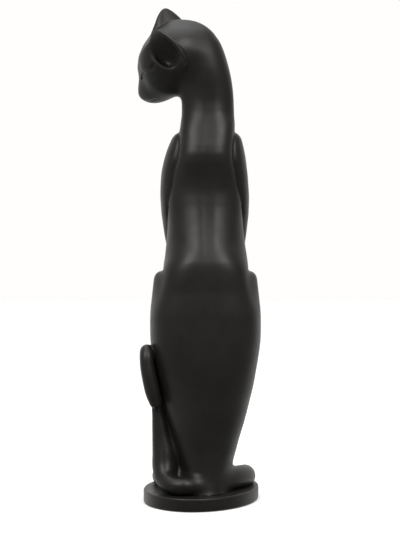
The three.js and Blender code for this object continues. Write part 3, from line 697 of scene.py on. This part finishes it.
Q = 1.0
B = "black_ceramic"
piece("body_casting", share(body_label, chamber), (-50, -48, 6), (56, 52, 320), 1.15 * Q, CERAMIC, B, "body_casting")
piece("head_casting", share(head_label), (-60, -42, 300), (42, 42, 404), 0.62 * Q, CERAMIC, B, "head_casting")
for k in (1, -1):
    n = "left_ear" if k > 0 else "right_ear"
    c = from_head(-12, k * 20, 20)
    piece(n, share(ear_label(n)), c - 26, c + 26, 0.45 * Q, CERAMIC, B, n)
for n in ("left_foreleg", "right_foreleg"):
    k = -1 if n[0] == "l" else 1
    x0, x1 = (-44, 14) if k < 0 else (-8, 52)
    piece(n, share(limb_label(n), standing), (x0, -24, 6), (x1, 66, 310), 0.9 * Q, CERAMIC, B, n)
for n in ("left_hind_foot", "right_hind_foot"):
    x0, x1 = (-50, 6) if n[0] == "l" else (-4, 54)
    piece(n, share(limb_label(n), standing), (x0, -32, 6), (x1, 66, 42), 0.7 * Q, CERAMIC, B, n)
piece("tail", share(limb_label("tail"), standing), (-56, -44, 6), (16, 12, 136), 0.7 * Q, CERAMIC, B, "tail")
piece("plinth", underside, (-54, -52, -2), (54, 80, 14), 0.8 * Q, CERAMIC, B, "plinth")
for where, (u, v) in {"rear_left": (-15, -32), "rear_right": (15, -32), "front_left": (-15, 32), "front_right": (15, 32)}.items():
    w = math.radians(PLINTH["turn"])
    px, py = u * math.cos(w) - v * math.sin(w), u * math.sin(w) + v * math.cos(w)
    top = PLINTH["z0"] + 2.0
    def pad(x, y, z, px=px, py=py + PLINTH["cy"], top=top):
        d = np.hypot(x - px, y - py) - 5.4
        q = np.abs(z - top / 2) - (top / 2 - 0.6)
        fuzz = 0.05 * np.sin(9.1 * x + 3 * np.sin(5.3 * y)) * np.sin(8.3 * y + 2.6 * np.sin(6.1 * x + 4 * z))
        return np.minimum(np.maximum(d, q), 0) + np.hypot(np.maximum(d, 0), np.maximum(q, 0)) - 0.6 + fuzz * sstep(0.5, 1.0, z)
    piece("felt_pad_" + where, pad, (px - 8, py + PLINTH["cy"] - 8, -1.5), (px + 8, py + PLINTH["cy"] + 8, 4), 0.3 * Q, FELT, "felt", "felt_pad_" + where)

# ------------------------------------------------------------------ stage and light
def stage_material(name, colour):
    m = bpy.data.materials.new(name)
    m.use_nodes = True
    b = m.node_tree.nodes["Principled BSDF"]
    b.inputs["Base Color"].default_value = colour
    b.inputs["Roughness"].default_value = 0.9
    b.inputs["Specular IOR Level"].default_value = 0.1
    return m

floor_mesh = bpy.data.meshes.new("floor")
floor_mesh.from_pydata([(-6, -6, 0), (6, -6, 0), (6, 6, 0), (-6, 6, 0)], [], [(0, 1, 2, 3)])
floor = bpy.data.objects.new("floor", floor_mesh)
bpy.context.scene.collection.objects.link(floor)
floor_mesh.materials.append(stage_material("floor", (0.92, 0.92, 0.92, 1)))

def area(name, loc, target, size, power, colour=(1, 1, 1)):
    d = bpy.data.lights.new(name, "AREA")
    d.shape = "RECTANGLE"
    d.size, d.size_y = size
    d.energy = power
    d.color = colour
    o = bpy.data.objects.new(name, d)
    bpy.context.scene.collection.objects.link(o)
    o.location = loc
    o.rotation_euler = (Vector(target) - Vector(loc)).to_track_quat("-Z", "Y").to_euler()
    return o

mid = (0, -0.014, 0.2)
for side in (-1, 1):
    # a softbox either side of the camera, above it
    area("top_softbox_%d" % (side + 1), (side * 0.62, -1.0, 1.15), (0, 0, 0.24), (0.55, 0.75), 13, (1.0, 0.965, 0.92))
floor.visible_glossy = False

world = bpy.data.worlds.new("room")
bpy.context.scene.world = world
world.use_nodes = True
wt = world.node_tree
bg = wt.nodes["Background"]
# a pale room: bright towards the back wall, dimmer in front, and plain white where it is seen directly
tc = wt.nodes.new("ShaderNodeTexCoord")
sep = wt.nodes.new("ShaderNodeSeparateXYZ")
wt.links.new(tc.outputs["Generated"], sep.inputs[0])
def ramp(axis, x0, x1, y1, flip=False):
    n = wt.nodes.new("ShaderNodeMapRange")
    n.interpolation_type = "SMOOTHSTEP"
    n.inputs["From Min"].default_value, n.inputs["From Max"].default_value = x0, x1
    n.inputs["To Min"].default_value, n.inputs["To Max"].default_value = 0.0, y1
    wt.links.new(sep.outputs[axis], n.inputs["Value"])
    return n.outputs["Result"]
def plus(a, b):
    n = wt.nodes.new("ShaderNodeMath")
    n.operation = "ADD"
    for i, v in enumerate((a, b)):
        if isinstance(v, float):
            n.inputs[i].default_value = v
        else:
            wt.links.new(v, n.inputs[i])
    return n.outputs[0]
level = plus(plus(ramp("Y", 0.05, 0.75, 0.95), ramp("X", -0.45, -0.95, 0.35)), plus(ramp("X", 0.55, 0.98, 0.16), 0.10))
lp = wt.nodes.new("ShaderNodeLightPath")
mixv = wt.nodes.new("ShaderNodeMix")
mixv.data_type = "FLOAT"
wt.links.new(lp.outputs["Is Camera Ray"], mixv.inputs[0])
wt.links.new(level, mixv.inputs[2])
mixv.inputs[3].default_value = 1.0
bg.inputs["Color"].default_value = (1, 0.99, 0.975, 1)
wt.links.new(mixv.outputs[0], bg.inputs["Strength"])
# the floor is lit evenly from straight above, far off, so that it stays pale to the horizon
sun = bpy.data.lights.new("overhead", "SUN")
sun.energy = 2.2
sun.angle = math.radians(60)
sun_o = bpy.data.objects.new("overhead", sun)
bpy.context.scene.collection.objects.link(sun_o)
sun_o.rotation_euler = (0, 0, 0)
bpy.context.scene.view_settings.view_transform = "Standard"
